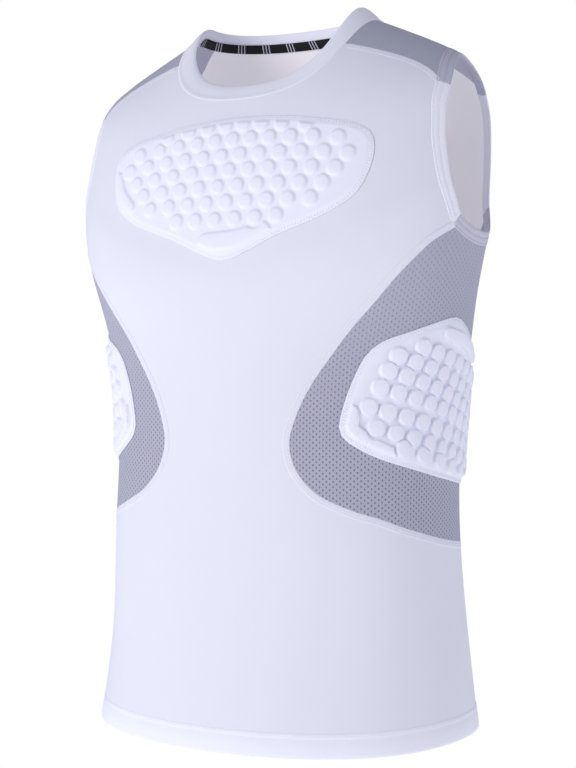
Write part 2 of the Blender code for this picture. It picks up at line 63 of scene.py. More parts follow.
# %% The rings of the form
MM = 0.001
RING_COLUMNS = (
    "side_x", "side_y", "side_z", "front_y", "front_z", "back_y", "back_z",
    "front_square", "back_square", "fall",
)
BODY_RINGS = (
    ("hem",          184,  0, -652, -149, -655, 118, -650, 0.020,  0.030, 0.0),
    ("low hip",      173,  0, -562, -138, -566, 114, -562, 0.025,  0.030, 0.0),
    ("waist",        166,  0, -466, -130, -470, 109, -468, 0.040,  0.030, 0.0),
    ("ribs",         169,  0, -381, -126, -383, 109, -382, 0.025,  0.025, 0.0),
    ("low chest",    180, -3, -300, -126, -303, 112, -302, 0.020,  0.010, 0.0),
    ("armpit",       192, -6, -236, -127, -245, 116, -242, 0.045, -0.010, 0.0),
    ("upper chest",  205, -6, -168, -122, -206, 117, -190, 0.050,  0.000, 0.0),
    ("upper arm",    206,  0, -105, -116, -169, 112, -132, 0.035,  0.015, 0.0),
    ("shoulder",     192,  4,  -54, -109, -134, 103,  -84, 0.030,  0.020, 0.0),
    ("mid shoulder", 145,  4,  -22, -101, -104,  84,  -40, 0.045,  0.020, 0.3),
    ("neck seam",     97,  0,    0,  -93,  -80,  60,   -1, 0.060,  0.010, 0.6),
)
COLLAR_RINGS = (
    BODY_RINGS[-1],
    ("collar top",    83, -4,   14,  -80,  -64,  52,   16, 0.050,  0.010, 0.6),
)
NECK_LEVEL = len(BODY_RINGS) - 1


def ring_table(rings):
    """The rings in metres, and the natural cubic spline's second derivatives at each."""
    rows = np.array([ring[1:] for ring in rings], float)
    rows[:, :7] *= MM
    matrix, right = np.eye(len(rows)), np.zeros_like(rows)
    for i in range(1, len(rows) - 1):
        matrix[i, i - 1 : i + 2] = (1, 4, 1)
        right[i] = 6 * (rows[i - 1] - 2 * rows[i] + rows[i + 1])
    return rows, np.linalg.solve(matrix, right)


BODY = ring_table(BODY_RINGS)
COLLAR = ring_table(COLLAR_RINGS)


def loft_point(table, angle, level):
    """Points of a lofted surface at angles in degrees and at levels."""
    angle, level = np.broadcast_arrays(np.asarray(angle, float), np.asarray(level, float))
    rows, slopes = table
    low = np.clip(np.floor(level).astype(int), 0, len(rows) - 2)
    part = (level - low)[..., None]
    rest = 1 - part
    ring = rest * rows[low] + part * rows[low + 1]
    ring = ring + ((rest**3 - rest) * slopes[low] + (part**3 - part) * slopes[low + 1]) / 6
    column = {name: ring[..., i] for i, name in enumerate(RING_COLUMNS)}
    turn = np.radians(angle)
    is_front = np.sin(turn) < 0
    square = np.where(is_front, column["front_square"], column["back_square"])
    across = (np.cos(turn) - square * np.cos(3 * turn)) / (1 - square)
    along = np.abs(np.sin(turn) + square * np.sin(3 * turn)) / (1 - square)
    drop = np.sin(turn) ** 2
    drop = drop * (1 + np.where(is_front, column["fall"], 0) * (1 - drop))
    end_y = np.where(is_front, column["front_y"], column["back_y"])
    end_z = np.where(is_front, column["front_z"], column["back_z"])
    y = column["side_y"] + (end_y - column["side_y"]) * along
    z = column["side_z"] + (end_z - column["side_z"]) * drop
    return np.stack([column["side_x"] * across, y, z], axis=-1)


def unit(vectors):
    return vectors / np.linalg.norm(vectors, axis=-1, keepdims=True)


def loft_normal(table, angle, level):
    """Outward unit normals of a lofted surface."""
    around = loft_point(table, angle + 0.5, level) - loft_point(table, angle - 0.5, level)
    upward = loft_point(table, angle, level + 0.02) - loft_point(table, angle, level - 0.02)
    return unit(np.cross(around, upward))


def seam_normal(angle):
    """The way through the cloth at the neck seam, shared by the body and the collar."""
    return unit(loft_normal(BODY, angle, NECK_LEVEL + 0.0 * angle) + loft_normal(COLLAR, angle, 0.0 * angle))


print("chest, mm round:", round(1000 * np.linalg.norm(np.diff(
    loft_point(BODY, np.arange(-180, 181, 2.0), 5.0), axis=0), axis=1).sum()))

# %% [markdown]
# The plan
#
# Patterns are cut flat, so the form needs a flat chart: metres round the armpit ring across, and metres
# of cloth upwards. A line drawn on the chart can be laid on the form, and the chart's own coordinates
# serve as the UV map, so every weave is drawn in real millimetres. UV unwrapping the finished pieces
# would also work, but its islands would turn and scale the mesh differently on each piece.

# %% The plan and the way back from it to the form
PLAN_ANGLES = np.arange(-275.0, 275.1, 2.5)
PLAN_LEVELS = np.linspace(0, NECK_LEVEL, 201)


def running_length(points):
    return np.concatenate([[0.0], np.cumsum(np.linalg.norm(np.diff(points, axis=0), axis=1))])


PLAN_ACROSS = running_length(loft_point(BODY, PLAN_ANGLES, 5.0))
PLAN_UP = running_length(loft_point(BODY, -60.0, PLAN_LEVELS))


def to_plan(table):
    rows = np.array([row[:2] for row in table], float)
    across = np.interp(rows[:, 0], PLAN_ANGLES, PLAN_ACROSS)
    return np.stack([across, np.interp(rows[:, 1], PLAN_LEVELS, PLAN_UP)], axis=1)


def from_plan(points):
    """Angles and levels of points on the plan, also a little past the hem."""
    angle = np.interp(points[..., 0], PLAN_ACROSS, PLAN_ANGLES)
    level = np.interp(points[..., 1], PLAN_UP, PLAN_LEVELS)
    return angle, level


def mirror_plan(points, centre_angle=-90):
    """The same line on the other side of the centre front or the centre back, run backwards."""
    angle, level = from_plan(points)
    return to_plan(np.stack([2 * centre_angle - angle, level], axis=1))[::-1]


def smooth_line(points, spacing, closed=False):
    """Even points along a smooth curve through the given points of the plan."""
    if closed:
        padded = np.concatenate([points[-1:], points, points[:2]])
    else:
        padded = np.concatenate([2 * points[:1] - points[1:2], points, 2 * points[-1:] - points[-2:-1]])
    curve = []
    for a, b, c, d in zip(padded, padded[1:], padded[2:], padded[3:]):
        for t in np.arange(12) / 12:
            bend = (2 * a - 5 * b + 4 * c - d) * t**2 + (3 * b - a - 3 * c + d) * t**3
            curve.append(b + 0.5 * ((c - a) * t + bend))
    return even_line(np.array(curve + [padded[-2]]), spacing, closed)


def even_line(curve, spacing, closed=False):
    """The same line with its points a given distance apart."""
    if closed and np.linalg.norm(curve[0] - curve[-1]) > 1e-9:
        curve = np.concatenate([curve, curve[:1]])
    length = running_length(curve)
    at = np.linspace(0, length[-1], max(2, round(length[-1] / spacing)) + 1)
    even = np.stack([np.interp(at, length, curve[:, i]) for i in (0, 1)], axis=1)
    return even[:-1] if closed else even


def join(*lines):
    """One line from several that meet end to start."""
    return np.concatenate([lines[0]] + [line[1:] for line in lines[1:]])


print("plan, metres:", round(PLAN_ACROSS[-1] * 360 / 550, 3), "round and", round(PLAN_UP[-1], 3), "up")

# %% [markdown]
# Folds
#
# Compression cloth is pulled smooth, so it has no sharp folds. What is left are long, soft troughs: under
# the arm, above the hips and in the small of the back. Noise would make the cloth look crumpled, so each
# trough is placed one by one, uneven in length, depth and spacing.

# %% Soft troughs and ridges, and a point on the cloth
# The columns: angle, level, lean in degrees, then half length, half width and depth in millimetres.
FOLDS = (
    (-24, 1.05,  78, 95, 26,  1.3), (-52, 1.30,  64, 80, 20,  0.5), (8, 0.75, 84, 90, 24, -0.8),
    (-38, 5.75,  24, 46,  9,  0.7), (-47, 6.40,  12, 40, 10,  0.5), (-33, 6.80, 70, 46, 8,  0.5),
    (-118, 1.60, 98, 80, 24,  0.6), (-148, 1.10, 96, 90, 22,  1.2), (-143, 5.85, 156, 44, 9, 0.7),
    (-133, 6.50, 170, 38, 10, 0.5), (-90, 2.20,  90, 110, 40, 0.4), (-100, 0.55, 84, 60, 20, -0.5),
    (72, 2.55,    4, 80, 15,  1.6), (106, 2.90,  -6, 95, 17,  1.4), (88, 2.05,   3, 70, 13,  1.2),
    (60, 1.35,   70, 80, 22,  1.1), (124, 1.10, 104, 90, 24,  1.0), (50, 5.60, 150, 50, 11,  0.9),
    (128, 5.75,  28, 55, 12,  0.8), (96, 8.60,   86, 60, 26,  0.6), (78, 6.60,  96, 90, 30,  0.5),
)


def fold_height(plan):
    """How far the folds lift the cloth off the plain form."""
    height = np.zeros(plan.shape[:-1])
    for angle, level, lean, half_length, half_width, depth in FOLDS:
        away = plan - to_plan(((angle, level),))[0]
        c, s = math.cos(math.radians(lean)), math.sin(math.radians(lean))
        along, side = away[..., 0] * c + away[..., 1] * s, away[..., 1] * c - away[..., 0] * s
        height -= depth * MM * np.exp(-((along / (half_length * MM)) ** 2) - (side / (half_width * MM)) ** 2)
    return height


def form_normal(angle, level):
    """Outward normals of the body, easing to the neck seam's own direction in the last stretch."""
    share = np.clip((level - (NECK_LEVEL - 0.15)) / 0.15, 0, 1)[..., None]
    return unit((1 - share) * loft_normal(BODY, angle, level) + share * seam_normal(angle))


def on_cloth(plan, lift=0.0):
    """Points on the cloth at places of the plan, lifted off it by metres."""
    angle, level = from_plan(plan)
    below = np.minimum(plan[..., 1], 0.0)[..., None] * np.array([0, 0, 1.0])
    height = fold_height(plan) * np.clip((NECK_LEVEL - level) / 0.6, 0, 1) + lift
    return loft_point(BODY, angle, level) + below + form_normal(angle, level) * height[..., None]


def step_on_plan(plan, vectors):
    """The step on the plan that moves a point by a small vector along the cloth."""
    h = 1 * MM
    u = (on_cloth(plan + (h, 0)) - on_cloth(plan - (h, 0))) / (2 * h)
    w = (on_cloth(plan + (0, h)) - on_cloth(plan - (0, h))) / (2 * h)
    uu, ww, uw = (u * u).sum(-1), (w * w).sum(-1), (u * w).sum(-1)
    a, b = (u * vectors).sum(-1), (w * vectors).sum(-1)
    determinant = uu * ww - uw * uw
    return np.stack([(a * ww - b * uw) / determinant, (b * uu - a * uw) / determinant], axis=-1)


print(len(FOLDS), "folds, the deepest", max(row[-1] for row in FOLDS), "mm")

# %% [markdown]
# Seam lines
#
# The grey side panel sweeps from under the arm round to the front and back again, and the grey yoke lies
# over the shoulder. Both are drawn as smooth lines through a few places of the form. The wearer's right
# side is the mirror image of the left.

# %% The seams, the armhole and the pads' outlines
SIDE_FRONT_SEAM = (
    (-18, 5.68), (-28, 5.54), (-35, 5.38), (-43, 5.00), (-49, 4.58), (-55, 4.20), (-60, 3.88),
    (-65, 3.58), (-69, 3.28), (-71.5, 2.95), (-69.5, 2.64), (-63, 2.38), (-52, 2.21), (-40, 2.10),
    (-27, 1.98), (-8, 1.85), (12, 1.78), (38, 1.74),
)
SIDE_BACK_SEAM = ((38, 1.74), (45, 2.40), (48, 3.10), (46, 4.00), (38, 5.00), (25, 5.98))
SIDE_SEAM_TOP, SIDE_SEAM_HEM_ANGLE = (38, 1.74), 36
YOKE_FRONT_SEAM = ((-27, 7.60), (-28, 8.50), (-29.5, 9.20), (-32, 10))
YOKE_BACK_SEAM = ((25, 7.80), (27.5, 8.40), (25, 9.20), (15, 10))
# The columns: angle, level, and the panel whose edge starts there.
ARMHOLE = (
    (-27.0, 7.60, "front"), (-29.0, 7.25, ""), (-29.5, 6.85, ""), (-27.5, 6.30, ""), (-22.5, 5.90, ""),
    (-18.0, 5.68, "side"), (-8.0, 5.54, ""), (4.0, 5.52, ""), (15.0, 5.64, ""),
    (25.0, 5.98, "back"), (28.0, 6.35, ""), (28.5, 6.85, ""), (27.5, 7.35, ""),
    (25.0, 7.80, "yoke"), (16.0, 8.22, ""), (4.0, 8.40, ""), (-8.0, 8.32, ""), (-19.0, 8.04, ""),
)
CHEST_PAD_HALF = (
    (-90, 5.40), (-84, 5.60), (-77, 5.93), (-66, 6.22), (-59, 6.46), (-55, 6.82), (-53, 7.20),
    (-53.5, 7.60), (-58, 8.02), (-64, 8.42), (-71, 8.85), (-80, 9.15), (-90, 9.27),
)
SIDE_PAD = (
    (-54.5, 3.10), (-53, 2.98), (-48, 2.87), (-39, 2.75), (-23, 2.62), (-8, 2.52), (12, 2.44),
    (26, 2.45), (35, 2.60), (38, 2.90), (37, 3.25), (30, 3.60), (18, 3.88), (4, 4.14), (-4, 4.27),
    (-10, 4.33), (-18, 4.28), (-32, 4.13), (-42, 4.01), (-47, 3.86), (-50, 3.65), (-53, 3.35),
)
SEAM_SPACING = 12 * MM


def armhole_part(piece, spacing=SEAM_SPACING):
    """The stretch of the armhole that is one panel's edge."""
    start = [row[2] for row in ARMHOLE].index(piece)
    stop = start + next(i for i in range(1, len(ARMHOLE) + 1) if ARMHOLE[(start + i) % len(ARMHOLE)][2])
    loop = to_plan(ARMHOLE)
    whole = smooth_line(loop[[i % len(ARMHOLE) for i in range(start - 1, stop + 2)]], 1.5 * MM)
    first = np.linalg.norm(whole - loop[start], axis=1).argmin()
    last = np.linalg.norm(whole - loop[stop % len(ARMHOLE)], axis=1).argmin()
    stretch = whole[first : last + 1].copy()
    stretch[0], stretch[-1] = loop[start], loop[stop % len(ARMHOLE)]
    return even_line(stretch, spacing)


def level_line(start_angle, end_angle, level, spacing=SEAM_SPACING):
    return even_line(to_plan(((start_angle, level), (end_angle, level))), spacing)


side_front_line = smooth_line(to_plan(SIDE_FRONT_SEAM), SEAM_SPACING)
side_back_line = smooth_line(to_plan(SIDE_BACK_SEAM), SEAM_SPACING)
side_seam_line = even_line(to_plan(((SIDE_SEAM_HEM_ANGLE, 0), SIDE_SEAM_TOP)), SEAM_SPACING)
yoke_front_line = smooth_line(to_plan(YOKE_FRONT_SEAM), SEAM_SPACING)
yoke_back_line = smooth_line(to_plan(YOKE_BACK_SEAM), SEAM_SPACING)
armhole = {piece: armhole_part(piece) for piece in ("front", "side", "back", "yoke")}
armhole_loop = join(armhole["front"], armhole["side"], armhole["back"], armhole["yoke"])[:-1]

chest_half = to_plan(CHEST_PAD_HALF)
chest_edge = np.concatenate([mirror_plan(chest_half)[:-1], chest_half[:-1]])[::-1]
chest_edge = smooth_line(chest_edge, 9 * MM, closed=True)
side_pad_edge = smooth_line(to_plan(SIDE_PAD), 9 * MM, closed=True)
print("armhole, mm round:", round(1000 * running_length(on_cloth(armhole_loop))[-1]))

# %% [markdown]
# Finishes
#
# Polyester jersey and mesh are matt, with a faint sheen at grazing angles from the fuzz of the yarn. The
# white is a cold one, a little lavender, as optical brighteners make it. The knit itself is finer than
# half a millimetre, so it only shows as a faint grain, and the mesh's holes are what the eye sees.

# %% Colours, the one function that adds a node, and what the finishes share
def linear(code, alpha=1.0):
    """A colour's sRGB hex value as the linear numbers that a shader works with."""
    values = [int(code[i : i + 2], 16) / 255 for i in (0, 2, 4)]
    return (*(v / 12.92 if v <= 0.04045 else ((v + 0.055) / 1.055) ** 2.4 for v in values), alpha)


def add_node(material, kind, inputs=(), **settings):
    """Adds a node, with its settings, and its inputs as values or as another node's output."""
    node = material.node_tree.nodes.new(kind)
    for name, value in settings.items():
        setattr(node, name, value)
    for name, value in dict(inputs).items():
        if isinstance(value, bpy.types.NodeSocket):
            material.node_tree.links.new(value, node.inputs[name])
        else:
            node.inputs[name].default_value = value
    return node


def cloth_material(name, colour, roughness, sheen):
    material = bpy.data.materials.new(name)
    material.use_nodes = True
    shader = material.node_tree.nodes["Principled BSDF"]
    shader.inputs["Base Color"].default_value = linear(colour)
    shader.inputs["Roughness"].default_value = roughness
    shader.inputs["Sheen Weight"].default_value = sheen
    shader.inputs["Sheen Roughness"].default_value = 0.4
    shader.inputs["Specular IOR Level"].default_value = 0.25
    return material, shader


def maths(material, operation, a, b=0.0, c=0.0):
    return add_node(material, "ShaderNodeMath", {0: a, 1: b, 2: c}, operation=operation).outputs[0]


def wave(material, repeats, times=1.0):
    """A sine wave that swings so many times in each repeat."""
    return maths(material, "SINE", maths(material, "MULTIPLY", repeats, 2 * math.pi * times))


def map_range(material, value, start, end, low, high):
    """Turns start to end into low to high, and stops there."""
    inputs = {"Value": value, "From Min": start, "From Max": end, "To Min": low, "To Max": high}
    return add_node(material, "ShaderNodeMapRange", inputs).outputs[0]


def two_tone(material, shader, share, colour, other):
    """Colours the cloth, with a share of another colour that a node gives."""
    inputs = {"Fac": share, "Color1": linear(colour), "Color2": linear(other)}
    tone = add_node(material, "ShaderNodeMixRGB", inputs)
    material.node_tree.links.new(tone.outputs[0], shader.inputs["Base Color"])


def pattern_axes(material, across, up):
    """The pattern's own coordinates, counted in repeats of the given sizes in millimetres."""
    uv = add_node(material, "ShaderNodeUVMap", uv_map="pattern")
    split = add_node(material, "ShaderNodeSeparateXYZ", {0: uv.outputs[0]})
    return [maths(material, "DIVIDE", split.outputs[i], size * MM) for i, size in enumerate((across, up))]


def bump(material, shader, height, distance, strength):
    node = add_node(
        material, "ShaderNodeBump", {"Height": height, "Distance": distance * MM, "Strength": strength}
    )
    material.node_tree.links.new(node.outputs[0], shader.inputs["Normal"])


# %% [markdown]
# White jersey: a fine single knit. Its columns of stitches are about 0.5 mm wide, drawn here at 1 mm so
# that they can show at all, and only as a faint relief. A soft blotchiness keeps the white from looking
# painted. Where the jersey is folded double, in the collar and the hems, less light passes through it
# and it looks whiter.

# %% White jersey
def white_jersey(name, colour):
    material, shader = cloth_material(name, colour, 0.62, 0.18)
    across, up = pattern_axes(material, 1.0, 0.8)
    loops = maths(material, "ADD", wave(material, across), wave(material, up))
    place = add_node(material, "ShaderNodeTexCoord").outputs["Object"]
    blotches = {"Vector": place, "Scale": 38.0, "Detail": 3.0}
    cloud = add_node(material, "ShaderNodeTexNoise", blotches).outputs[0]
    two_tone(material, shader, maths(material, "MULTIPLY", cloud, 0.10), colour, "D9DAEC")
    relief = maths(material, "ADD", maths(material, "MULTIPLY", loops, 0.25), cloud)
    bump(material, shader, relief, 0.05, 0.35)
    return material


def with_painted_light_through(material, colour, strength):
    """Paints light on a thin cloth's inside: it glows a little, in place of the daylight that passes through
    the knit.
    """
    shader = material.node_tree.nodes["Principled BSDF"]
    shader.inputs["Emission Color"].default_value = linear(colour)
    shader.inputs["Emission Strength"].default_value = strength
    return material


jersey = white_jersey("white_polyester_jersey", "E8EAF3")
jersey_folded = white_jersey("white_jersey_folded", "F3F4FD")
pad_cover = white_jersey("white_pad_cover", "F2F3FE")
# Painted light: the jersey's inside glows a little, in place of light passing through the knit.
jersey_inside = with_painted_light_through(white_jersey("white_jersey_inside", "E6E4E8"), "E6E2E4", 0.20)
print("made", jersey.name, jersey_folded.name, pad_cover.name, jersey_inside.name)

# %% [markdown]
# Grey mesh: a warp knit with small open holes in upright columns 3.3 mm apart. In a column they follow
# each other every 4.8 mm, and each column is shifted by half of that. Real holes would need a million
# edges, so a hole is drawn as a sunken spot with painted shade, darker like the shaded inside of the shirt
# seen through it. Between the holes run fine upright ribs of thread, with faint painted shade between
# them. Towards the armhole the cloth is stretched, and the holes close up. A hem is folded double, so its
# holes are covered and it looks lighter.

# %% Grey mesh
# All in millimetres; the last two are heights on the plan.
HOLE_PITCH, HOLE_ROW, HOLE_WIDE, HOLE_TALL = 6.6, 2.4, 1.5, 1.9
RIB = 1.65
HOLES_FADE_FROM, HOLES_FADE_TO = 260.0, 470.0


def grey_mesh(name, colour, hole_shade_colour, hole_depth, rib_depth, scale=1.0):
    material, shader = cloth_material(name, colour, 0.70, 0.12)
    across, row = pattern_axes(material, HOLE_PITCH * scale, HOLE_ROW * scale)
    shift = maths(material, "MULTIPLY", maths(material, "MODULO", maths(material, "FLOOR", row), 2.0), 0.5)
    x = maths(material, "SUBTRACT", maths(material, "FRACT", maths(material, "ADD", across, shift)), 0.5)
    y = maths(material, "SUBTRACT", maths(material, "FRACT", row), 0.5)
    x = maths(material, "MULTIPLY", x, 2 * HOLE_PITCH / HOLE_WIDE)
    y = maths(material, "MULTIPLY", y, 2 * HOLE_ROW / HOLE_TALL)
    square = maths(material, "ADD", maths(material, "MULTIPLY", x, x), maths(material, "MULTIPLY", y, y))
    up_mm = pattern_axes(material, 1.0, 1.0)[1]
    fade = map_range(material, up_mm, HOLES_FADE_FROM, HOLES_FADE_TO, 1.0, 0.3)
    hole = maths(material, "MULTIPLY", map_range(material, square, 1.6, 0.4, 0.0, 1.0), fade)
    rib = wave(material, across, HOLE_PITCH / RIB)
    shade = maths(material, "MULTIPLY_ADD", rib, -rib_depth, rib_depth)
    # Painted shade: the holes are darkened like the shaded inside seen through them, and so are the grooves
    # between the ribs.
    dark = maths(material, "MAXIMUM", maths(material, "MULTIPLY", hole, hole_depth), shade)
    two_tone(material, shader, dark, colour, hole_shade_colour)
    relief = maths(material, "SUBTRACT", maths(material, "MULTIPLY", rib, 0.25), hole)
    bump(material, shader, relief, 0.30, 0.6)
    return material


side_mesh = grey_mesh("grey_polyester_mesh", "B8B7C8", "504E64", 0.74, 0.07)
yoke_mesh = grey_mesh("grey_fine_mesh", "BBBDCC", "55576E", 0.90, 0.12, 0.6)
side_hem = grey_mesh("grey_mesh_folded", "CFCEDB", "8F8EA6", 0.25, 0.05)
yoke_hem = grey_mesh("grey_fine_mesh_folded", "C3C4D3", "8F8EA6", 0.25, 0.05, 0.6)
side_inside = grey_mesh("grey_mesh_inside", "A9A7BA", "6F6D84", 0.6, 0.05)
yoke_inside = grey_mesh("grey_fine_mesh_inside", "A9A9BA", "70718A", 0.4, 0.08, 0.6)
# Painted light: the mesh insides glow a little too, in place of light passing through the knit.
with_painted_light_through(side_inside, "A9A7BA", 0.10)
with_painted_light_through(yoke_inside, "A9A9BA", 0.22)
grey_finishes = (side_mesh, yoke_mesh, side_hem, yoke_hem, side_inside, yoke_inside)
print("made", ", ".join(finish.name for finish in grey_finishes))

# %% [markdown]
# Thread and tape: sewing thread is a slightly glossy polyester. The neck tape is black and woven, with
# plain slanted bars in groups of three.

# %% Thread and tape
white_thread = cloth_material("white_thread", "F3F4FC", 0.45, 0.1)[0]
grey_thread = cloth_material("grey_thread", "B5B4C6", 0.45, 0.1)[0]
black_tape, tape_shader = cloth_material("black_woven_tape", "0B0B0E", 0.55, 0.05)
BAR_GROUP, BAR_PITCH, BAR_WIDTH, BAR_LEAN, BARS, THREAD_PITCH = 26.0, 3.2, 1.1, 0.35, 3, 0.8


def into_repeat(material, value, pitch):
    """How far a value has come into its own repeat of the pitch."""
    share = maths(material, "FRACT", maths(material, "DIVIDE", value, pitch))
    return maths(material, "MULTIPLY", share, pitch)


length_mm, height_mm = pattern_axes(black_tape, 1.0, 1.0)
slanted = maths(black_tape, "SUBTRACT", length_mm, maths(black_tape, "MULTIPLY", height_mm, BAR_LEAN))
in_group = into_repeat(black_tape, slanted, BAR_GROUP)
in_bar = into_repeat(black_tape, in_group, BAR_PITCH)
has_bar = maths(black_tape, "LESS_THAN", in_group, BARS * BAR_PITCH)
is_bar = maths(black_tape, "MULTIPLY", maths(black_tape, "LESS_THAN", in_bar, BAR_WIDTH), has_bar)
two_tone(black_tape, tape_shader, is_bar, "0B0B0E", "B9B9C4")
bump(black_tape, tape_shader, wave(black_tape, length_mm, 1 / THREAD_PITCH), 0.08, 0.5)
print("made", white_thread.name, grey_thread.name, black_tape.name)

# %% [markdown]
# Cutting a piece
#
# A pattern piece starts as its outline on the plan. The outline is filled with even triangles, subdivided,
# and given a thickness while it is still flat, and only then wrapped onto the form. So the front and the
# back of the cloth stay parallel, and two pieces that share a seam line share its points. Wrapping a
# thickened piece afterwards needs no guess at which side is out: the flat piece's top is the outside.

# %% Flat pattern pieces, and wrapping them
def is_inside(points, outline):
    x, y = points[:, 0][:, None], points[:, 1][:, None]
    x1, y1 = outline[:, 0], outline[:, 1]
    x2, y2 = np.roll(x1, -1), np.roll(y1, -1)
    rise = np.where(y2 == y1, 1e-12, y2 - y1)
    return (((y1 > y) != (y2 > y)) & (x < x1 + (y - y1) * (x2 - x1) / rise)).sum(axis=1) % 2 == 1


def distance_to(points, outline):
    """Distance from each point to a closed outline, on the plan or in space."""
    edge = np.roll(outline, -1, axis=0) - outline
    away = points[:, None] - outline[None]
    share = np.clip((away * edge).sum(-1) / (edge**2).sum(-1), 0, 1)
    return np.linalg.norm(away - share[..., None] * edge, axis=-1).min(axis=1)


def fill_points(outline, spacing):
    """An even triangular grid of points within an outline, clear of its edge."""
    low, high = outline.min(axis=0), outline.max(axis=0)
    row_step = spacing * math.sqrt(3) / 2
    rows = [
        (low[0] + (row % 2 + 2 * column) * spacing / 2, low[1] + (row + 0.5) * row_step)
        for row in range(int((high[1] - low[1]) / row_step) + 1)
        for column in range(int((high[0] - low[0]) / spacing) + 1)
    ]
    points = np.array(rows)
    points = points[is_inside(points, outline)]
    return points[distance_to(points, outline) > 0.55 * spacing]


def edit(piece, *operations):
    """Runs mesh operators on the whole of one piece in edit mode."""
    bpy.ops.object.select_all(action="DESELECT")
    bpy.context.view_layer.objects.active = piece
    piece.select_set(True)
    bpy.ops.object.mode_set(mode="EDIT")
    bpy.ops.mesh.select_all(action="SELECT")
    for operation, settings in operations:
        operation(**settings)
    bpy.ops.object.mode_set(mode="OBJECT")


def new_piece(name, vertices, faces, material):
    mesh = bpy.data.meshes.new(name)
    mesh.from_pydata([tuple(v) for v in vertices], [], faces)
    mesh.materials.append(material)
    piece = bpy.data.objects.new(name, mesh)
    bpy.context.collection.objects.link(piece)
    return piece


def set_pattern(piece, plan):
    """Stores each vertex's place on the plan as the piece's UV map."""
    layer = piece.data.uv_layers.new(name="pattern")
    corner = np.empty(len(piece.data.loops), int)
    piece.data.loops.foreach_get("vertex_index", corner)
    layer.data.foreach_set("uv", np.ascontiguousarray(plan[corner]).ravel())


def vertices_of(piece):
    flat = np.empty(3 * len(piece.data.vertices))
    piece.data.vertices.foreach_get("co", flat)
    return flat.reshape(-1, 3)


def cut_piece(name, outline, spacing, cuts, material):
    """A flat pattern piece 1 mm thick on the plan, finely divided, its top at height 0."""
    area = (outline[:, 0] * np.roll(outline[:, 1], -1) - outline[:, 1] * np.roll(outline[:, 0], -1)).sum()
    outline = outline if area > 0 else outline[::-1]
    points = np.concatenate([outline, fill_points(outline, spacing)])
    count = len(outline)
    edges = [(i, (i + 1) % count) for i in range(count)]
    result = delaunay_2d_cdt([Vector(p) for p in points], edges, [], 0, 1e-7)
    source = [min(ids) for ids in result[3]]
    triangles = np.array([[source[v] for v in face] for face in result[2]])
    a, b, c = (points[triangles[:, i]] for i in range(3))
    twice = (b - a)[:, 0] * (c - a)[:, 1] - (b - a)[:, 1] * (c - a)[:, 0]
    kept = triangles[is_inside((a + b + c) / 3, outline) & (twice > 1e-9)]
    flat = np.column_stack([points, np.zeros(len(points))])
    piece = new_piece(name, flat, kept.tolist(), material)
    edit(piece, (bpy.ops.mesh.subdivide, {"number_cuts": cuts}))
    wall = piece.modifiers.new("wall", "SOLIDIFY")
    wall.thickness, wall.offset = 1 * MM, -1
    bpy.ops.object.modifier_apply(modifier=wall.name)
    return piece


def wrap(piece, top, bottom, inside=None):
    """Lays a flat piece on the form. top is a height above the cloth or a function of the plan, bottom a
    height.
    """
    flat = vertices_of(piece)
    if inside:
        piece.data.materials.append(inside)
        for face in piece.data.polygons:
            face.material_index = int(face.normal.z < -0.5)
    plan, is_top = flat[:, :2], flat[:, 2] > -0.5 * MM
    upper = top(plan) if callable(top) else top
    set_pattern(piece, plan)
    piece.data.vertices.foreach_set("co", on_cloth(plan, np.where(is_top, upper, bottom)).ravel())
    piece.data.update()
    piece.data.shade_smooth()
    piece.data.set_sharp_from_angle(angle=math.radians(50))
    print(f"{piece.name}: {len(piece.data.vertices)} points, {len(piece.data.polygons)} faces")
    return piece


# %% [markdown]
# The panels
#
# The front and the back are each one piece, with the pads sewn on top. The two side panels and the two
# yokes are cut once and mirrored on the plan, so that the folds, which are not mirrored, differ from side
# to side. The wall is 1.6 mm in the frame and 1.1 mm here, nearer to the real cloth, on the same outside.

# %% Front, back, side panels and yokes
WALL = 1.1 * MM
PANEL_SPACING, PANEL_CUTS = 22 * MM, 3
yoke_front_angle, yoke_back_angle = YOKE_FRONT_SEAM[-1][0], YOKE_BACK_SEAM[-1][0]

front_half = join(
    level_line(-90, SIDE_SEAM_HEM_ANGLE, 0), side_seam_line, side_front_line[::-1], armhole["front"][::-1],
    yoke_front_line, level_line(yoke_front_angle, -90, NECK_LEVEL),
)
back_half = join(
    level_line(90, SIDE_SEAM_HEM_ANGLE, 0), side_seam_line, side_back_line, armhole["back"],
    yoke_back_line, level_line(yoke_back_angle, 90, NECK_LEVEL),
)
side_outline = join(side_front_line, side_back_line, armhole["side"][::-1])[:-1]
yoke_outline = join(
    yoke_front_line[::-1], armhole["yoke"][::-1], yoke_back_line,
    level_line(yoke_back_angle, yoke_front_angle, NECK_LEVEL),
)[:-1]
outlines = {
    "front_panel": (np.concatenate([front_half, mirror_plan(front_half)[1:-1]]), jersey, jersey_inside),
    "back_panel": (np.concatenate([back_half, mirror_plan(back_half, 90)[1:-1]]), jersey, jersey_inside),
    "side_panel_cloth_left": (side_outline, side_mesh, side_inside),
    "side_panel_cloth_right": (mirror_plan(side_outline), side_mesh, side_inside),
    "yoke_cloth_left": (yoke_outline, yoke_mesh, yoke_inside),
    "yoke_cloth_right": (mirror_plan(yoke_outline), yoke_mesh, yoke_inside),
}
panels = {}
for name, (outline, outside, inside) in outlines.items():
    spacing = 15 * MM if "yoke" in name else PANEL_SPACING
    panels[name] = wrap(cut_piece(name, outline, spacing, PANEL_CUTS, outside), 0.0, -WALL, inside)

# %% [markdown]
# Strips
#
# Hems, seams and the tape are long narrow pieces with one section all along. A curve with a bevel object
# would turn as it likes round its own axis, so each strip is swept along its line on the cloth instead:
# every point of the section is a distance into the panel and a height above it.

# %% A strip along a line, and stitches along a line
FINE = 3 * MM


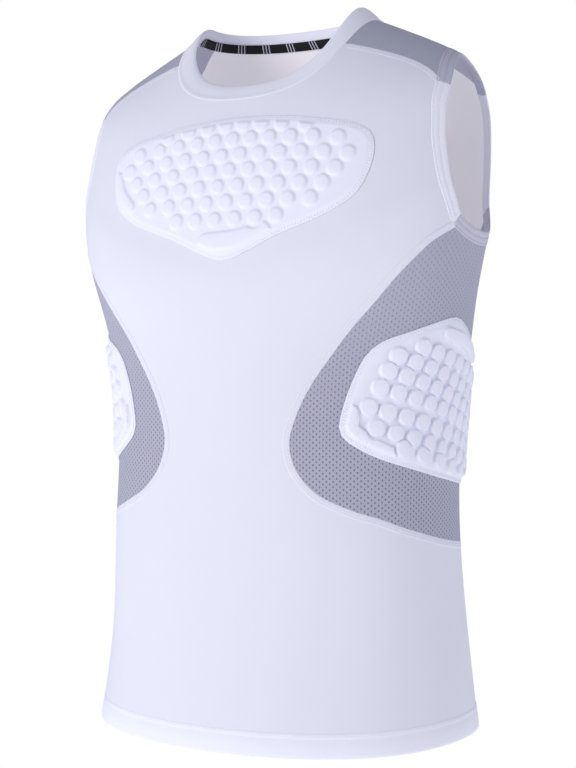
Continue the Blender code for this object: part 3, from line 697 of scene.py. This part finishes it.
def line_frame(line, closed):
    """Places, directions along, into the left-hand side of, and up from a line on the cloth."""
    place = on_cloth(line)
    if closed:
        along = np.roll(place, -1, axis=0) - np.roll(place, 1, axis=0)
    else:
        along = np.gradient(place, axis=0)
    along = unit(along)
    up = form_normal(*from_plan(line))
    return place, along, unit(np.cross(up, along)), up


def offset_line(line, distance, closed=False):
    """The line moved sideways along the cloth, to the left of its own direction."""
    _, _, side, _ = line_frame(line, closed)
    return line + step_on_plan(line, side * distance)


def swept_piece(name, skins, plans, material, closed):
    """A piece from the lines that the corners of its section, a closed loop, draw along it."""
    count, around = len(skins), len(skins[0])
    faces = []
    for i in range(around if closed else around - 1):
        j = (i + 1) % around
        for s in range(count):
            t = (s + 1) % count
            faces.append((s * around + i, s * around + j, t * around + j, t * around + i))
    if not closed:
        faces.append(tuple(s * around for s in range(count)))
        faces.append(tuple(s * around + around - 1 for s in reversed(range(count))))
    piece = new_piece(name, np.concatenate(skins), faces, material)
    set_pattern(piece, np.concatenate(plans))
    edit(piece, (bpy.ops.mesh.normals_make_consistent, {"inside": False}))
    piece.data.shade_smooth()
    piece.data.set_sharp_from_angle(angle=math.radians(60))
    return piece


def strip(name, line, section, material, side=1):
    """Sweeps a section of (mm to the side, mm up) along a line on the cloth."""
    plans = [offset_line(line, side * away * MM) for away, _ in section]
    skins = [on_cloth(plan, up * MM) for plan, (_, up) in zip(plans, section)]
    return swept_piece(name, skins, plans, material, False)


bpy.ops.object.select_all(action="DESELECT")
bpy.ops.mesh.primitive_uv_sphere_add(segments=6, ring_count=4, radius=1)
one_stitch = bpy.context.object
stitch_points = vertices_of(one_stitch)
stitch_faces = [tuple(face.vertices) for face in one_stitch.data.polygons]
bpy.data.objects.remove(one_stitch)


def stitches(name, rows, material, pitch, length, width=0.55, slant=0.0):
    """Copies of one stitch along lines. A row is (line, closed, mm to the side, mm up)."""
    places = []
    for line, closed, away, lift in rows:
        moved = even_line(offset_line(line, away * MM, closed), pitch * MM, closed)
        place, along, side, up = line_frame(moved, closed)
        turn = np.radians(slant) * np.where(np.arange(len(moved)) % 2, 1, -1)[:, None]
        lean = np.cos(turn) * along + np.sin(turn) * side
        cross = np.cos(turn) * side - np.sin(turn) * along
        middle = place + up * lift * MM
        shape = stitch_points[None, :, :, None] * np.stack(
            [lean * length / 2, cross * width / 2, up * width / 3], axis=1
        )[:, None] * MM
        places.append((middle[:, None] + shape.sum(axis=2)).reshape(-1, 3))
    points = np.concatenate(places)
    starts = range(0, len(points), len(stitch_points))
    faces = [tuple(start + v for v in face) for start in starts for face in stitch_faces]
    piece = new_piece(name, points, faces, material)
    piece.data.shade_smooth()
    print(f"{name}: {len(starts)} stitches, {len(faces)} faces")
    return piece


# %% [markdown]
# Armhole hems
#
# The edge of each armhole is folded inwards by 12 mm and held by two rows of stitches. The fold makes the
# edge round and thick, and each row of stitches presses a groove into it. The hem is a section that wraps
# the edge, cut where the grey and the white pieces meet.

# %% Armhole hems
HEM_SECTION = (
    (12.6, -0.10), (12.1, 0.30), (11.3, 0.48), (10.6, 0.16), (9.8, 0.52), (8.0, 0.66), (6.2, 0.52),
    (5.4, 0.16), (4.6, 0.52), (2.6, 0.74), (0.9, 0.70), (-0.3, 0.35), (-0.8, -0.40), (-0.5, -1.30),
    (0.8, -1.90), (6.0, -1.95), (11.5, -1.90), (12.6, -1.30),
)
# How far each stretch's start lies ahead of its panel's corner along the edge, in millimetres: a seam
# that meets the edge at a slant crosses the hem further on.
HEM_SHIFT = {"front": -8.5, "side": -3.0, "back": 0.0, "yoke": 1.0}

hem_parts = [armhole_part(piece, 1.5 * MM) for piece in HEM_SHIFT]
hem_loop = join(*hem_parts)
hem_length = running_length(hem_loop)
hem_corner = dict(zip(HEM_SHIFT, np.cumsum([0.0] + [running_length(part)[-1] for part in hem_parts])))


def hem_stretch(piece):
    """One panel's stretch of the left armhole's hem."""
    names = list(HEM_SHIFT)
    following = names[(names.index(piece) + 1) % len(names)]
    start, end = (hem_corner[each] + HEM_SHIFT[each] * MM for each in (piece, following))
    end += hem_length[-1] if end < start else 0
    at = np.linspace(start, end, max(2, round((end - start) / FINE)) + 1) % hem_length[-1]
    return np.stack([np.interp(at, hem_length, hem_loop[:, i]) for i in (0, 1)], axis=1)


armhole_hems = {}
for piece in HEM_SHIFT:
    line = hem_stretch(piece)
    material = {"side": side_hem, "yoke": yoke_hem}.get(piece, jersey_folded)
    for side, course in (("left", line), ("right", mirror_plan(line))):
        name = f"armhole_hem_{piece}_{side}"
        armhole_hems[name] = strip(name, course, HEM_SECTION, material, side=-1)
print(len(armhole_hems), "stretches of armhole hem")

# %% [markdown]
# Bottom hem
#
# The bottom edge is folded up by 20 mm and sewn with twin needles, so two rows of stitches run 5 mm apart.

# %% Bottom hem
BOTTOM_SECTION = (
    (20.8, -0.10), (20.2, 0.35), (19.2, 0.16), (18.2, 0.42), (16.4, 0.42), (15.4, 0.16), (14.4, 0.46),
    (8.0, 0.60), (2.0, 0.56), (0.3, 0.30), (-0.4, -0.55), (0.3, -1.60), (2.0, -1.90), (14.0, -1.90),
    (20.2, -1.85), (20.8, -1.30),
)
hem_start, hem_end = SIDE_SEAM_HEM_ANGLE, -180 - SIDE_SEAM_HEM_ANGLE
front_hem_line = level_line(hem_end, hem_start, 0, 4 * MM)
back_hem_line = level_line(hem_start, 180 - hem_start, 0, 4 * MM)
bottom_hems = {
    "bottom_hem_front": strip("bottom_hem_front", front_hem_line, BOTTOM_SECTION, jersey_folded),
    "bottom_hem_back": strip("bottom_hem_back", back_hem_line, BOTTOM_SECTION, jersey_folded),
}
print("bottom hem, mm round:", round(1000 * (
    running_length(on_cloth(front_hem_line))[-1] + running_length(on_cloth(back_hem_line))[-1])))

# %% [markdown]
# Flat seams
#
# The panels meet edge to edge, and the white one's allowance is pressed flat beside the joint under a
# band of stitches, 5 mm wide. It reads as a low white border with a crisp edge towards the grey.

# %% Flat seams beside the grey panels
SEAM_SECTION = (
    (-0.7, 0.00), (-0.5, 0.30), (0.2, 0.46), (1.0, 0.34), (1.6, 0.26), (2.6, 0.30), (3.6, 0.24), (4.4, 0.34),
    (5.1, 0.20), (5.7, -0.10), (2.5, -0.30),
)
# Each line stops short of the hem or collar that it runs under, by a few points at its start or end. The
# side is 1 where the white panel lies to the left of the line's direction.
seam_courses = {
    "seam_side_front": (smooth_line(to_plan(SIDE_FRONT_SEAM), FINE)[2:], 1),
    "seam_side_back": (smooth_line(to_plan(SIDE_BACK_SEAM), FINE)[:-4], -1),
    "seam_side_low": (even_line(to_plan(((SIDE_SEAM_HEM_ANGLE, 0), SIDE_SEAM_TOP)), FINE), 1),
    "seam_yoke_front": (smooth_line(to_plan(YOKE_FRONT_SEAM), FINE)[3:-1], 1),
    "seam_yoke_back": (smooth_line(to_plan(YOKE_BACK_SEAM), FINE)[3:-1], -1),
}
seams = {}
for name, (line, side) in seam_courses.items():
    seams[name + "_left"] = strip(name + "_left", line, SEAM_SECTION, jersey, side=side)
    seams[name + "_right"] = strip(name + "_right", mirror_plan(line), SEAM_SECTION, jersey, side=side)
print(len(seams), "flat seams")

# %% [markdown]
# Collar
#
# The neckband is a strip folded double and sewn on at the neck seam. Its fold rolls over softly at the
# top, and at its foot the seam makes a small ridge. It is swept round the neck like the strips, but on
# the collar's own two rings.

# %% Collar
COLLAR_STEPS, COLLAR_HEIGHT = 240, 20 * MM
COLLAR_SECTION = (
    (0.00, 0.05), (0.03, 0.45), (0.09, 0.62), (0.16, 0.52), (0.23, 0.28), (0.32, 0.30), (0.48, 0.42),
    (0.66, 0.42), (0.84, 0.22), (0.95, -0.35), (1.01, -1.25), (0.97, -2.15), (0.86, -2.60),
    (0.66, -2.70), (0.35, -2.60), (0.10, -2.20), (0.00, -1.60),
)


def collar_skin(angles, share, up):
    """Points of the collar at a share of its height, up millimetres above its outside."""
    foot = max(0.0, 1 - share / 0.35)
    normal = unit((1 - foot) * loft_normal(COLLAR, angles, share) + foot * seam_normal(angles))
    return loft_point(COLLAR, angles, share) + normal * up * MM


def swept_round(name, angles, section, material, closed):
    """Sweeps a section of (share of the collar's height, mm up) round the neck."""
    skins = [collar_skin(angles, share, up) for share, up in section]
    length = running_length(skins[0])
    plans = [np.stack([length, np.full(len(angles), share * COLLAR_HEIGHT)], axis=1) for share, _ in section]
    return swept_piece(name, skins, plans, material, closed)


collar_angles = -180 + 360 * np.arange(COLLAR_STEPS) / COLLAR_STEPS
collar_band = swept_round("collar_band", collar_angles, COLLAR_SECTION, jersey_folded, True)
print("collar, mm round:", round(1000 * running_length(loft_point(COLLAR, collar_angles, 0.5))[-1]))

# %% [markdown]
# Neck tape
#
# A woven tape covers the neck seam inside, from shoulder to shoulder round the back, so that the seam
# doesn't rub.

# %% Neck tape
TAPE_SECTION = (
    (0.06, -2.75), (0.06, -3.35), (0.10, -3.55), (0.30, -3.65), (0.48, -3.60), (0.52, -3.40), (0.52, -2.80),
)
tape_angles = np.linspace(-6, 186, 170)
neck_tape = swept_round("neck_tape_strip", tape_angles, TAPE_SECTION, black_tape, False)
print("tape, mm long:", round(1000 * running_length(loft_point(COLLAR, tape_angles, 0.3))[-1]))

# %% [markdown]
# Pads
#
# Each pad is a sheet of foam moulded into round cells between two layers of cloth, with a flat border
# where it is sewn down. The mould sets its shape, so the height of its outside is worked out as the
# mould's would be: a border, a base, and a flat-topped button for each cell, with a few long cells where
# the grid meets the border. A cloth simulation would round the buttons away.

# %% The pads' cells
# A row of round cells: its first and last angle, its first, middle and last level, and its count.
CHEST_CELLS = (
    (-111.2, -68.8, 8.41, 8.93, 8.41, 8), (-118.0, -62.0, 7.75, 8.46, 7.75, 11),
    (-120.0, -60.0, 7.32, 8.00, 7.32, 12), (-116.5, -63.5, 7.10, 7.60, 7.10, 11),
    (-113.2, -66.8, 6.87, 7.19, 6.87, 10), (-110.0, -70.0, 6.59, 6.80, 6.59, 9),
    (-102.0, -78.0, 6.35, 6.38, 6.35, 6),
)
SIDE_CELLS = (
    (-26.5, 21.8, 3.94, 3.74, 3.55, 8), (-36.0, 26.1, 3.84, 3.55, 3.27, 10),
    (-39.0, 30.0, 3.68, 3.37, 3.07, 11), (-41.5, 28.5, 3.50, 3.22, 2.95, 11),
    (-45.0, 28.0, 3.30, 3.03, 2.77, 11), (-42.0, 19.0, 3.08, 2.86, 2.64, 9),
    (-31.0, 5.5, 2.86, 2.73, 2.60, 5),
)
# Edge cells fill what the round ones leave along the border. Each has the places (angle, level) that it
# runs through, then its half width in millimetres. A round one has a single place.
CHEST_EDGE_CELLS = (
    (((-94, 5.84), (-87, 5.88), (-81, 6.02)), 9.5), (((-124, 7.10), (-121.5, 6.82), (-117, 6.58)), 7.0),
    (((-66.2, 8.62), (-62, 8.38)), 4.5), (((-113.8, 8.62), (-118, 8.38)), 4.5),
    (((-75.5, 8.93), (-71.5, 8.80)), 4.0), (((-104.5, 8.93), (-108.5, 8.80)), 4.0),
)
SIDE_EDGE_CELLS = (
    (((-15, 4.12), (-7, 4.07), (1, 3.97), (8, 3.83)), 6.0), (((-50.5, 3.26), (-50, 3.08), (-46, 2.98)), 5.5),
    (((-43, 2.93), (-35, 2.82)), 5.0), (((13, 2.57),), 7.5), (((22, 2.60),), 7.5), (((31, 2.80),), 6.0),
)
# Each pad's mould: radius of a cell, width of its sloping side, its rise and the width of the border, in
# millimetres.
CHEST_MOULD, SIDE_MOULD = (8.2, 3.2, 2.1, 5.5), (8.3, 1.5, 3.8, 6.5)
# Half the width of the groove between two cells that touch, and how deep it cuts.
VALLEY, GROOVE_DEPTH = 0.8, 0.7
BORDER_LIFT, BASE_LIFT = 1.2, 2.3


def cell_centres(rows):
    """Places of the cells on the plan, evenly along each row."""
    found = []
    for first, last, first_level, middle_level, last_level, cells in rows:
        across = np.interp((first, last), PLAN_ANGLES, PLAN_ACROSS)
        along = np.linspace(-1, 1, cells)
        bow = (first_level + last_level) / 2 - middle_level
        level = middle_level + along * (last_level - first_level) / 2 + bow * along**2
        up = np.interp(level, PLAN_LEVELS, PLAN_UP)
        found.append(np.stack([across.mean() + along * (across[1] - across[0]) / 2, up], axis=1))
    return np.concatenate(found)


def ease(values, start, end):
    """0 before start, 1 after end, and smooth between."""
    share = np.clip((values - start) / (end - start), 0, 1)
    return share * share * (3 - 2 * share)


def nearest(space, places):
    """Distance from each point to the nearest of some places."""
    distance = np.full(len(space), 99.0)
    for place in places:
        distance = np.minimum(distance, np.linalg.norm(space - place, axis=1))
    return distance


def pad_height(plan, outline, centres, mould, edge_cells):
    """Height of a pad's outside over the cloth, in metres."""
    radius, slope, rise, border_width = mould
    space = on_cloth(plan) / MM
    edge = distance_to(space, on_cloth(even_line(outline, 3 * MM, True)) / MM)
    sizes = radius * np.random.default_rng(7).uniform(0.96, 1.03, len(centres))
    first, second = np.full(len(plan), 99.0), np.full(len(plan), 99.0)
    for centre, size in zip(on_cloth(centres) / MM, sizes):
        beyond = np.linalg.norm(space - centre, axis=1) - size
        first, second = np.minimum(first, beyond), np.minimum(second, np.maximum(first, beyond))
    groove = 1 - GROOVE_DEPTH * (1 - ease((second - first) / 2, 0.0, VALLEY))
    filler = np.full(len(plan), -99.0)
    for places, half_width in edge_cells:
        course = to_plan(places)
        course = even_line(course, 1.5 * MM) if len(course) > 1 else course
        filler = np.maximum(filler, half_width - nearest(space, on_cloth(course) / MM))
    filler = np.minimum(filler, first - VALLEY)

    def button(depth):
        within = np.minimum(depth, edge - border_width)
        return 0.88 * ease(within, -0.3, slope) + 0.12 * ease(within, 0.5 * slope, radius)

    cells = np.maximum(groove * button(-first), button(filler))
    border = BORDER_LIFT * ease(edge, -0.8, 0.8)
    base = (BASE_LIFT - BORDER_LIFT) * ease(edge, border_width - 4.0, border_width + 1.0)
    return (border + base + rise * cells) * MM


def make_pad(name, outline, centres, mould, edge_cells, cuts):
    piece = cut_piece(name, outline, 9 * MM, cuts, pad_cover)
    return wrap(piece, lambda plan: pad_height(plan, outline, centres, mould, edge_cells), 0.3 * MM)


def mirror_cells(cells):
    return tuple((tuple((-180 - a, level) for a, level in places), width) for places, width in cells)


PAD_CUTS = 9
side_centres = cell_centres(SIDE_CELLS)
pad_patterns = {
    "chest_pad_cushion": (chest_edge, cell_centres(CHEST_CELLS), CHEST_MOULD, CHEST_EDGE_CELLS),
    "side_pad_cushion_left": (side_pad_edge, side_centres, SIDE_MOULD, SIDE_EDGE_CELLS),
    "side_pad_cushion_right": (
        mirror_plan(side_pad_edge), mirror_plan(side_centres), SIDE_MOULD, mirror_cells(SIDE_EDGE_CELLS)),
}
pads = {name: make_pad(name, *pattern, PAD_CUTS) for name, pattern in pad_patterns.items()}

# %% [markdown]
# Stitches
#
# The hems have rows of straight stitches 3 mm long. The flat seams and the borders of the pads have a
# close zigzag. Each stitch is a copy of one small bead of thread, drawn a little thicker than the real
# 0.3 mm so that it can be seen.

# %% Stitches on hems, seams and pads
white_rows, grey_rows = [], []
for piece in HEM_SHIFT:
    line = hem_stretch(piece)
    rows = grey_rows if piece in ("side", "yoke") else white_rows
    for away in (5.4, 10.6):
        rows.append((line, False, -away, 0.30))
        rows.append((mirror_plan(line), False, -away, 0.30))
for away in (15.4, 19.2):
    white_rows += [(front_hem_line, False, away, 0.28), (back_hem_line, False, away, 0.28)]
sewing = {
    "stitches_white_hems": stitches("stitches_white_hems", white_rows, white_thread, 3.2, 2.6),
    "stitches_grey_hems": stitches("stitches_grey_hems", grey_rows, grey_thread, 3.2, 2.6),
}
zigzag_rows = []
for line, side in seam_courses.values():
    zigzag_rows += [(line, False, side * 2.6, 0.32), (mirror_plan(line), False, side * 2.6, 0.32)]
sewing["stitches_flat_seams"] = stitches(
    "stitches_flat_seams", zigzag_rows, white_thread, 1.5, 3.0, width=0.5, slant=62)
pad_lines = (chest_edge[::-1], side_pad_edge, mirror_plan(side_pad_edge))
border_rows = [(even_line(line, FINE, True), True, 3.4, BORDER_LIFT + 0.15) for line in pad_lines]
sewing["stitches_pad_borders"] = stitches(
    "stitches_pad_borders", border_rows, white_thread, 2.4, 4.4, width=1.3, slant=84)

# %% [markdown]
# Fitting the pieces to the frame
#
# The shirt has no joint, so every piece rides on the one body. Each panel stands for the frame's plain
# wall, whose own part is hidden. The pieces are knit that stretches, so a piece cut round a limb or the
# trunk is stretched a little.

# %% Ride and replace
every_piece = [*panels.values(), *armhole_hems.values(), *bottom_hems.values(), *seams.values(),
               *pads.values(), *sewing.values(), collar_band, neck_tape]
for piece in every_piece:
    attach(piece, "root")

STANDS_FOR = {
    "front_panel": "front", "back_panel": "back", "side_panel_cloth_left": "side_panel_left",
    "side_panel_cloth_right": "side_panel_right", "yoke_cloth_left": "yoke_left",
    "yoke_cloth_right": "yoke_right",
    "chest_pad_cushion": "chest_pad", "side_pad_cushion_left": "side_pad_left",
    "side_pad_cushion_right": "side_pad_right",
}
for name, node in STANDS_FOR.items():
    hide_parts(node)
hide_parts("collar")
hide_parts("neck_tape")

print(len(every_piece), "pieces ride on the root body")

# %% [markdown]
# Floor, light and camera
#
# The shirt hangs in the air, as its wearer would hold it, over a pale floor. One large soft light stands
# in front of it, so the form darkens gently towards the right. A weaker one, behind on the right, picks
# out the side pad. A pale surround, a little darker overhead and to the right, fills the shadows.

# %% Floor and light
bpy.ops.object.select_all(action="DESELECT")
bpy.ops.mesh.primitive_circle_add(vertices=96, radius=1.9, fill_type="NGON", location=(0, 0, -1.25))
floor = bpy.context.object
floor.name = "floor"
floor_paint, floor_shader = cloth_material("pale_floor_paint", "F4F4F6", 0.9, 0.0)
floor_shader.inputs["Emission Color"].default_value = linear("FFFFFF")
floor_shader.inputs["Emission Strength"].default_value = 0.45
floor.data.materials.append(floor_paint)


def soft_light(name, place, aim, size, power, colour):
    bpy.ops.object.light_add(type="AREA", location=place)
    light = bpy.context.object
    light.name = name
    light.rotation_euler = (Vector(aim) - Vector(place)).to_track_quat("-Z", "Y").to_euler()
    light.data.shape, light.data.size = "SQUARE", size
    light.data.energy, light.data.color = power, linear(colour)[:3]
    return light


soft_light("key_light", (-0.85, -2.7, -0.05), (0, 0, -0.35), 1.4, 34, "FFFEFA")
soft_light("fill_light", (2.5, 0.5, -0.25), (0, 0, -0.35), 0.9, 14, "FFFFFF")

world = bpy.data.worlds.new("pale_surround")
bpy.context.scene.world = world
world.use_nodes = True
surround = world.node_tree.nodes["Background"]
surround.inputs["Color"].default_value = linear("E9EBFF")
direction = add_node(world, "ShaderNodeTexCoord").outputs["Generated"]
direction = add_node(world, "ShaderNodeSeparateXYZ", {0: direction}).outputs
overhead = map_range(world, direction["Z"], -0.1, 0.9, 0.64, 0.39)
rightwards = map_range(world, direction["X"], -1.0, 1.0, 1.25, 0.74)
world.node_tree.links.new(maths(world, "MULTIPLY", overhead, rightwards), surround.inputs["Strength"])
# The picture's own background is plain white, whatever the surround's light is.
seen = add_node(world, "ShaderNodeBackground", {"Color": linear("FFFFFF"), "Strength": 1.0})
is_seen = add_node(world, "ShaderNodeLightPath").outputs["Is Camera Ray"]
both = add_node(world, "ShaderNodeMixShader", {0: is_seen, 1: surround.outputs[0], 2: seen.outputs[0]})
world.node_tree.links.new(both.outputs[0], world.node_tree.nodes["World Output"].inputs["Surface"])
bpy.context.scene.view_settings.view_transform = "Standard"

# %% Camera
YAW, DISTANCE, EYE_HEIGHT, AIM_X = math.radians(28), 1.328, -0.351, 0.004
right, forward = Vector((math.cos(YAW), math.sin(YAW), 0)), Vector((-math.sin(YAW), math.cos(YAW), 0))
bpy.ops.object.camera_add(location=Vector((AIM_X, 0, EYE_HEIGHT)) - forward * DISTANCE)
camera = bpy.context.object
camera.name = "camera"
camera.rotation_euler = Matrix((right, Vector((0, 0, 1)), -forward)).transposed().to_euler()
camera.data.sensor_width, camera.data.lens = 36, 64.875
camera.data.shift_x, camera.data.shift_y = -5 / 768, 16 / 768
camera.data.clip_start, camera.data.clip_end = 0.05, 60
bpy.context.scene.camera = camera
print("camera at", [round(v, 3) for v in camera.location])
